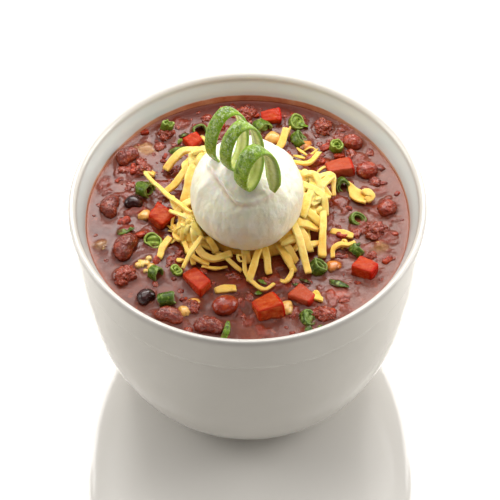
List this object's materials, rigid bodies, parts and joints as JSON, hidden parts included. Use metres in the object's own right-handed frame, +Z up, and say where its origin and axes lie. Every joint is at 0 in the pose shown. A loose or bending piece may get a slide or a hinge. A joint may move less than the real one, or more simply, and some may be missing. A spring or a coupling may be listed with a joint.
{
  "type": "bowl of chili con carne",
  "caption": "Deep white round bowl filled with chili con carne of beans and tomato, topped with cheese strands, a ball of sour cream and a green spiral.",
  "frame": {"origin": "on the floor under the bowl's axis, in the plane that its foot ring rests on", "axes": "+Z up along the bowl's axis; -Y is the front, the side that the picture was taken from; +X is the picture's right"},
  "size_m": [0.156, 0.156, 0.1734],
  "materials": {
    "porcelain": "glazed white porcelain",
    "chili_sauce": "wet, dark red-brown",
    "tomato": "wet, red",
    "red_bean": "wet, red-brown",
    "kidney_bean": "wet, dark red",
    "black_bean": "wet, near black",
    "cheese": "yellow, slightly waxy",
    "sour_cream": "soft satin white",
    "green_chili": "waxy green skin"
  },
  "bodies": {
    "root": {"bowl": "porcelain", "chili": "chili_sauce", "cheese": "cheese", "sour_cream": "sour_cream", "green_chili_spiral": "green_chili", "tomato_1": "tomato", "tomato_2": "tomato", "tomato_3": "tomato", "tomato_4": "tomato", "tomato_5": "tomato", "tomato_6": "tomato", "tomato_7": "tomato", "tomato_8": "tomato", "red_bean_1": "red_bean", "kidney_bean_2": "kidney_bean", "kidney_bean_3": "kidney_bean", "red_bean_4": "red_bean", "red_bean_5": "red_bean", "kidney_bean_6": "kidney_bean", "kidney_bean_7": "kidney_bean", "red_bean_8": "red_bean", "kidney_bean_9": "kidney_bean", "red_bean_10": "red_bean", "black_bean_11": "black_bean", "black_bean_12": "black_bean"}
  },
  "joints": []
}
